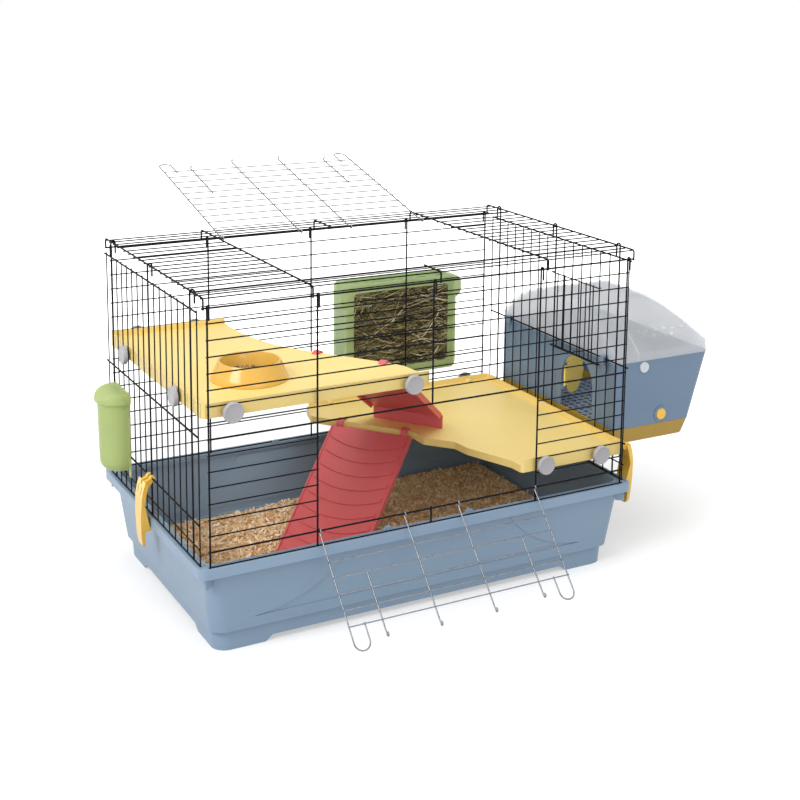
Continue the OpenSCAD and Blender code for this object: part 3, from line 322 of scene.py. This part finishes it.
# %% Plated wire
def plated_wire():
    finish = Finish("plated_wire", Metallic=1.0)
    patches = finish.cloud(scale=90, detail=4)
    finish.colour(finish.tint(patches, srgb("6E7176"), srgb("A3A6AA")))
    finish.rough(patches.around(0.305, 0.25))
    finish.bump(finish.cloud(scale=900, detail=2), depth=0.00004, strength=0.5)
    return finish.material


wire_bright = plated_wire()
print("plated wire", wire_bright.name)

# %% [markdown]
# Shavings, hay and seeds are heaps of single bits, and each bit has a colour of its own, from pale to
# brown. One material for each bit would be thousands. The shader can instead draw one random number for
# each unconnected island of a mesh, and a ramp turns that number into one of the heap's colours.

# %% Shavings, hay and seeds: their colours
def straw(name, stops, scale, roughness):
    finish = Finish(name, Roughness=roughness)
    own = finish.node("ShaderNodeNewGeometry", {}, {}, "Random Per Island")
    share = own * 0.75 + finish.cloud(scale, detail=3) * 0.25
    ramp = {"stops": [(place, srgb(code)) for place, code in stops]}
    finish.colour(finish.node("ShaderNodeValToRGB", ramp, {"Fac": share}))
    finish.bump(finish.cloud(scale=900, detail=3), depth=0.0002, strength=0.6)
    return finish.material


shaving_wood = straw(
    "shaving_wood", [(0.1, "CD9A64"), (0.4, "F0CFA2"), (0.7, "FDEBCB"), (0.95, "FFFAEA")],
    scale=110, roughness=0.75)
hay_dry = straw(
    "hay_dry", [(0.2, "2A2612"), (0.5, "6A6036"), (0.75, "B5A878"), (0.95, "F0E8C8")],
    scale=160, roughness=0.75)
seed_mix = straw(
    "seed_mix", [(0.15, "3A2A1A"), (0.5, "8A6A3A"), (0.85, "C9A25C")],
    scale=220, roughness=0.6)
print("finishes in all", len(bpy.data.materials))

# %% [markdown]
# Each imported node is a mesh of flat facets. Welding its doubled points and smoothing all but the sharp
# edges brings back the round wires and corners. Both are modifiers, so not a single point of the frame
# moves.

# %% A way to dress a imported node
weld_distance = 0.00001
sharp_angle = math.radians(40)


def dress(name, material):
    piece = nodes[name]
    piece.data.materials.clear()
    piece.data.materials.append(material)
    for face in piece.data.polygons:
        face.use_smooth = True
        face.material_index = 0
    weld = piece.modifiers.new("weld", "WELD")
    weld.merge_threshold = weld_distance
    split = piece.modifiers.new("sharp_edges", "EDGE_SPLIT")
    split.split_angle = sharp_angle


print("edges sharper than", round(math.degrees(sharp_angle)), "degrees stay sharp")

# %% [markdown]
# Pieces of one kind share a finish and a word in their names, so a short table of words dresses all of
# them. The first word that fits counts: the side door is coated wire, and the other doors are plated.

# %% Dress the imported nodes
finish_by_word = [
    ("knob", knob_grey), ("latch", latch_yellow), ("shelf", shelf_yellow), ("ramp", ramp_red),
    ("bowl", bowl_amber), ("feeder", feeder_green), ("hay_rack", rack_green),
    ("nest_body", nest_blue), ("nest_collar", lid_frost), ("nest_lid", lid_frost),
    ("nest_tray", tray_ochre), ("nest_sieve", sieve_grey), ("nest_flap", flap_yellow_painted_light),
    ("nest_button", button_yellow), ("nest_pins", pin_white),
    ("tub", tub_blue), ("bedding", shaving_wood),
    ("side_door", wire_dark), ("_door", wire_bright), ("panel", wire_dark),
]

for name in nodes:
    dress(name, next(material for word, material in finish_by_word if word in name))
print("dressed", len(nodes), "nodes")

# %% [markdown]
# What lies loose is built as one mesh for each heap, because its bits never move apart and thousands of
# objects would be slow. Each heap rides on the body that carries it and moves with it. To fill a heap, one
# small shape is drawn anew for each place and turned at random.

# %% Helpers for loose heaps
def join(shapes):
    """Many small shapes as one list of points and one of faces."""
    all_points, all_faces = [], []
    for points, faces in shapes:
        start = len(all_points)
        all_points += points
        all_faces += [tuple(i + start for i in face) for face in faces]
    return all_points, all_faces


def scatter(chance, places, make, tilt):
    """A new small shape at each place, turned about the vertical and tilted by chance."""
    for place in places:
        points, faces = make(chance)
        turn = (Matrix.Rotation(chance.uniform(0, 2 * math.pi), 3, "Z")
                @ Matrix.Rotation(chance.gauss(0, tilt), 3, "Y")
                @ Matrix.Rotation(chance.gauss(0, tilt), 3, "X"))
        yield [tuple(turn @ Vector(p) + Vector(place)) for p in points], faces


def mesh_piece(name, shapes, material, body):
    mesh = bpy.data.meshes.new(name)
    points, faces = join(shapes)
    mesh.from_pydata(points, [], faces)
    mesh.update()
    mesh.materials.append(material)
    piece = bpy.data.objects.new(name, mesh)
    bpy.context.scene.collection.objects.link(piece)
    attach(piece, body)
    print(name, "faces", len(faces))
    return piece


print("heap helpers ready: join, scatter and mesh_piece")

# %% [markdown]
# A shaving is a thin curl of planed softwood. A flat card would do from afar, but its edge would vanish
# when seen end on. So each curl is a short bent strip with a real thickness, in three steps along its
# bend, a little narrower towards its ends.

# %% One curl of wood
shaving_length = (0.006, 0.018)
shaving_width = (0.0020, 0.0050)
shaving_thick = 0.0005
shaving_bend = (0.4, 2.6)
curl_steps = 3
curl_taper = 0.25


def curl(chance, length, width, thick, bend):
    """Points and faces of one bent strip about the origin, lying along X."""
    points = []
    radius = length / bend
    for i in range(curl_steps + 1):
        t = i / curl_steps - 0.5
        turn = t * bend
        x = radius * math.sin(turn)
        z = radius * (1 - math.cos(turn))
        half = width * (0.5 - curl_taper * abs(t) * chance.random())
        normal = (-math.sin(turn), math.cos(turn))
        for side in (-half, half):
            for face in (0, thick):
                points.append((x + normal[0] * face, side, z + normal[1] * face))
    faces = []
    for i in range(curl_steps):
        a = 4 * i
        b = a + 4
        faces += [
            (a, b, b + 2, a + 2), (a + 1, a + 3, b + 3, b + 1),
            (a, a + 1, b + 1, b), (a + 2, b + 2, b + 3, a + 3)]
    last = 4 * curl_steps
    faces += [(0, 2, 3, 1), (last, last + 1, last + 3, last + 2)]
    return points, faces


def shaving(chance):
    return curl(
        chance, chance.uniform(*shaving_length), chance.uniform(*shaving_width), shaving_thick,
        chance.uniform(*shaving_bend))


print("one curl has", len(shaving(random.Random(0))[1]), "faces")

# %% [markdown]
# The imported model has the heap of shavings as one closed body. Here curls are dropped on it: a ray from
# above finds where each one comes to rest, and it ends a little in or over the heap's skin, as real ones
# do. Where the heap is very thin or missing, the curl is left out, so the tub's floor stays clean there.

# %% Shavings on the heap in the tub
shaving_drops = 13000
heap_edge = 0.006
heap_least = 0.005
shaving_settle = (-0.0015, 0.0035)
shaving_tilt = 0.45
ray_height = 0.5

heap = BVHTree.FromObject(nodes["bedding"], bpy.context.evaluated_depsgraph_get())
bed_low, bed_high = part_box("bedding")
floor_z = bed_low.z
bed_rng = random.Random(5)


def bed_top(x, y):
    """Where a curl dropped at this place comes to rest: on the heap, or on the tub's floor beside it."""
    hit = heap.ray_cast(Vector((x, y, ray_height)), Vector((0, 0, -1)))[0]
    return hit.z if hit else floor_z


curl_places = []
for _ in range(shaving_drops):
    x = bed_rng.uniform(bed_low.x + heap_edge, bed_high.x - heap_edge)
    y = bed_rng.uniform(bed_low.y + heap_edge, bed_high.y - heap_edge)
    top = bed_top(x, y)
    if top > floor_z + heap_least:
        curl_places.append((x, y, top + bed_rng.uniform(*shaving_settle)))
shavings = mesh_piece(
    "shavings", scatter(bed_rng, curl_places, shaving, shaving_tilt), shaving_wood, "cage")
print("shavings", len(curl_places), "curls")

# %% [markdown]
# Hay is long bent stalks, packed so that most lie across the rack. Hair strands would be quicker to comb,
# but they are no mesh. So each stalk is a three-sided tube swept along a gentle arc, and each of its
# points is held inside the box that it may fill.

# %% One stalk of hay
stalk_length = (0.03, 0.11)
stalk_radius = (0.0004, 0.0009)
stalk_lean = 0.45
stalk_skew = 0.12
stalk_sag = (0.004, 0.003, 0.006)
stalk_steps = 5
stalk_sides = 3


def held(point, low, high):
    """The nearest place to the point in the box."""
    return Vector([min(max(point[k], low[k]), high[k]) for k in range(3)])


def stalk(chance, low, high):
    """A bent thin tube between two points in the box."""
    a = Vector([chance.uniform(low[k], high[k]) for k in range(3)])
    lean = chance.gauss(0, stalk_lean)
    length = chance.uniform(*stalk_length)
    way = Vector((math.cos(lean), chance.gauss(0, stalk_skew), math.sin(lean)))
    b = held(a + way.normalized() * length, low, high)
    sag = Vector([chance.gauss(0, spread) for spread in stalk_sag])
    radius = chance.uniform(*stalk_radius)
    upward = Vector((-math.sin(lean), 0, math.cos(lean)))
    inward = Vector((0, 1, 0))
    points = []
    for i in range(stalk_steps + 1):
        t = i / stalk_steps
        centre = held(a.lerp(b, t) + sag * 4 * t * (1 - t), low, high)
        for corner in range(stalk_sides):
            angle = corner * 2 * math.pi / stalk_sides
            side = upward * math.cos(angle) + inward * math.sin(angle)
            points.append(tuple(centre + side * radius))
    last = stalk_sides * stalk_steps
    faces = [(0, 2, 1), (last, last + 1, last + 2)]
    for ring in range(0, last, stalk_sides):
        upper = ring + stalk_sides
        for corner in range(stalk_sides):
            after = (corner + 1) % stalk_sides
            faces.append((ring + corner, ring + after, upper + after, upper + corner))
    return points, faces


print("one stalk has", stalk_sides * stalk_steps + 2, "faces")

# %% [markdown]
# The hay fills the hollow of the rack. The rack's box also holds its ears on both sides and the rim over
# its mouth, so these and the wall are taken off it first.

# %% Hay in the rack
hay_stalks = 2600
rack_ear, rack_wall, rack_rim = 0.012, 0.004, 0.011

rack_low, rack_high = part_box("hay_rack")
hay_low = rack_low + Vector((rack_ear + rack_wall, rack_wall, rack_wall))
hay_high = rack_high - Vector((rack_ear + rack_wall, rack_wall, rack_rim))
hay_rng = random.Random(11)
mesh_piece("hay", (stalk(hay_rng, hay_low, hay_high) for _ in range(hay_stalks)), hay_dry, "cage")
print("hay", hay_stalks, "stalks")

# %% [markdown]
# A seed is a small oval, a little flattened. A ready-made sphere has hundreds of faces, far more than show
# at this size, so a seed is three rings of seven points with a point at each end.

# %% One seed
seed_half_length = (0.0028, 0.0042)
seed_half_width = (0.0016, 0.0022)
seed_flat = 0.8
seed_rings, seed_sides = 4, 7


def seed(chance):
    """A small egg shape from rings."""
    long = chance.uniform(*seed_half_length)
    thick = chance.uniform(*seed_half_width)
    points = [(-long, 0, 0)]
    for i in range(1, seed_rings):
        t = math.pi * i / seed_rings
        for j in range(seed_sides):
            a = 2 * math.pi * j / seed_sides
            across = thick * math.sin(t) * math.cos(a)
            up = thick * seed_flat * math.sin(t) * math.sin(a)
            points.append((-long * math.cos(t), across, up))
    points.append((long, 0, 0))
    after = [(j + 1) % seed_sides for j in range(seed_sides)]
    faces = [(0, 1 + after[j], 1 + j) for j in range(seed_sides)]
    for i in range(seed_rings - 2):
        a, b = 1 + i * seed_sides, 1 + (i + 1) * seed_sides
        faces += [(a + j, a + after[j], b + after[j], b + j) for j in range(seed_sides)]
    end = len(points) - 1
    faces += [(end, end - seed_sides + j, end - seed_sides + after[j]) for j in range(seed_sides)]
    return points, faces


print("one seed has", len(seed(random.Random(0))[1]), "faces")

# %% [markdown]
# The seeds fill the hollow of the bowl and ride with the bowl when it is lifted. The heap is round and
# highest in the middle, and has slid to the left, so that it is thicker on that side.

# %% Seeds in the bowl
seed_count = 900
seed_heap_radius = 0.036
seed_heap_height = 0.011
seed_heap_fade = 0.05
seed_heap_level = 0.6
seed_heap_slide = 6
seed_least_depth = 0.001
seed_tilt = 0.5
bowl_floor = 0.0065

bowl_low, bowl_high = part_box("food_bowl")
bowl_middle = (bowl_low + bowl_high) / 2
seed_rng = random.Random(3)
seed_places = []
for _ in range(seed_count):
    angle = seed_rng.uniform(0, 2 * math.pi)
    out = seed_heap_radius * math.sqrt(seed_rng.random())
    x = out * math.cos(angle)
    y = out * math.sin(angle)
    dome = 1 - (out / seed_heap_fade) ** 2
    top = seed_heap_height * dome * (seed_heap_level - seed_heap_slide * x)
    z = bowl_low.z + bowl_floor + seed_rng.random() * max(top, seed_least_depth)
    seed_places.append((bowl_middle.x + x, bowl_middle.y + y, z))
mesh_piece("seeds", scatter(seed_rng, seed_places, seed, seed_tilt), seed_mix, "food_bowl")
print("seeds", len(seed_places))

# %% [markdown]
# The studio floor is white and fades into a white background. Lighting a floor until it is pure white
# would wash out the object. So the floor adds a glow of its own, which only the camera, mirrors and clear
# pieces see, and it still takes the cage's shadow. Farther out the glow alone is white, so that no edge
# shows.

# %% Floor finish
fade_from, fade_to = 0.75, 1.5
paper_hidden, paper_shown = 0.4, 0.6
paper_glow = 0.42


def studio_floor():
    finish = Finish("studio_floor")
    finish.tree.nodes.remove(finish.shader)
    shown, mirrored, through = [
        finish.node("ShaderNodeLightPath", {}, {}, ray)
        for ray in ("Is Camera Ray", "Is Glossy Ray", "Is Transmission Ray")]
    shown = shown.math("MAXIMUM", mirrored).math("MAXIMUM", through)
    away = finish.node("ShaderNodeVectorMath", {"operation": "LENGTH"}, {0: finish.place()}, "Value")
    far = away.above(fade_from, fade_to)
    grey = finish.tint(shown, (paper_hidden,) * 3, (paper_shown,) * 3)
    paper = finish.node("ShaderNodeBsdfDiffuse", {}, {"Color": grey})
    strength = shown * paper_glow + far * shown
    glow = finish.node("ShaderNodeEmission", {}, {"Color": (1, 1, 1, 1), "Strength": strength})
    finish.surface(finish.node("ShaderNodeAddShader", {}, {0: paper, 1: glow}))
    return finish.material


floor_white = studio_floor()
print("floor fades to white from", fade_from, "to", fade_to)

# %% [markdown]
# The floor is one large square under the feet. It is stage, not object.

# %% Floor
floor_half = 6.0
floor_corners = [
    (-floor_half, -floor_half, 0), (floor_half, -floor_half, 0),
    (floor_half, floor_half, 0), (-floor_half, floor_half, 0)]
floor_mesh = bpy.data.meshes.new("floor")
floor_mesh.from_pydata(floor_corners, [], [(0, 1, 2, 3)])
floor_mesh.materials.append(floor_white)
floor = bpy.data.objects.new("floor", floor_mesh)
bpy.context.scene.collection.objects.link(floor)
print("floor", 2 * floor_half, "square")

# %% [markdown]
# An even white sky fills the shadows, as the walls of a light tent do. The camera and the clear pieces
# see it at full white, while the light that it gives to the object is weaker, so that the lamps still
# model the form.

# %% Sky
sky_light, sky_shown = 0.80, 1.0

world = bpy.data.worlds.new("studio")
bpy.context.scene.world = world
world.use_nodes = True
sky = Tree(world.node_tree)
seen = sky.node("ShaderNodeLightPath", {}, {}, "Is Camera Ray")
through = sky.node("ShaderNodeLightPath", {}, {}, "Is Transmission Ray")
background = world.node_tree.nodes["Background"]
sky.feed(background.inputs["Color"], (1, 1, 1, 1))
sky.feed(background.inputs["Strength"], sky.node(
    "ShaderNodeMapRange", {},
    {"Value": seen.math("MAXIMUM", through), "To Min": sky_light, "To Max": sky_shown}))
print("sky gives", sky_light, "and shows", sky_shown)

# %% [markdown]
# Three broad lamps do the modelling. The key stands to the upper left, where the photograph has its
# bright side, one hangs over the roof to light the shelves and the shavings, and a weak one in front
# keeps the front of the tub from going dull. Broad lamps give the soft shadow under the tub.

# %% Lamps
def lamp(name, place, target, size, power):
    light = bpy.data.lights.new(name, "AREA")
    light.size = size
    light.energy = power
    lamp_object = bpy.data.objects.new(name, light)
    lamp_object.location = place
    lamp_object.rotation_euler = (Vector(target) - Vector(place)).to_track_quat("-Z", "Y").to_euler()
    bpy.context.scene.collection.objects.link(lamp_object)
    print(name, power, "W")


lamp("key_lamp", place=(-2.6, -0.9, 2.2), target=(0, 0, 0.25), size=1.6, power=60)
lamp("top_lamp", place=(0.2, -0.2, 3.0), target=(0, 0, 0.2), size=2.2, power=32)
lamp("front_lamp", place=(0.1, -2.9, 0.9), target=(0, 0, 0.15), size=1.6, power=13)
bpy.context.scene.view_settings.view_transform = "Standard"
